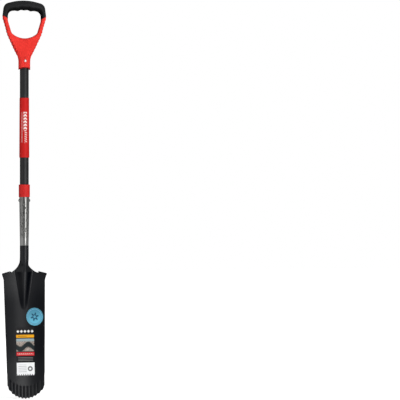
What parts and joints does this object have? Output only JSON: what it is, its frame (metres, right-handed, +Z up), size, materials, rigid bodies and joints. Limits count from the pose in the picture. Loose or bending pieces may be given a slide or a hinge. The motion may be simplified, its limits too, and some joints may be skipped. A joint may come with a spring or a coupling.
{
  "type": "trenching spade",
  "caption": "Long narrow trenching spade with a dished, flute-edged steel blade, folded treads, rolled socket, sleeved tube shaft and a D handle with a soft finger grip.",
  "frame": {"origin": "under the middle finger ridge of the grip, on the shaft's axis, where the spade hangs on a hook", "axes": "+Z up along the shaft from the blade to the handle, +X to the right, the hollow side of the blade faces -Y"},
  "size_m": [0.15, 0.0519, 1.28],
  "materials": {
    "blade_steel": "satin black coated sheet steel",
    "socket_sleeve": "mottled bare metal sleeve",
    "rivet_steel": "bright plated rivets",
    "deep_red_plastic": "semi gloss deep red sleeve",
    "shaft_tube": "satin black coated steel tube",
    "bright_red_plastic": "semi gloss bright red moulding",
    "soft_grip": "fine grained soft charcoal grip"
  },
  "bodies": {
    "root": {"blade": "blade_steel", "socket_wrap": "socket_sleeve", "socket_rivet": "rivet_steel", "collar": "deep_red_plastic", "shaft": "shaft_tube", "shaft_sleeve": "deep_red_plastic", "handle_yoke": "bright_red_plastic", "handle_grip": "soft_grip", "handle_rivet": "rivet_steel"}
  },
  "joints": []
}
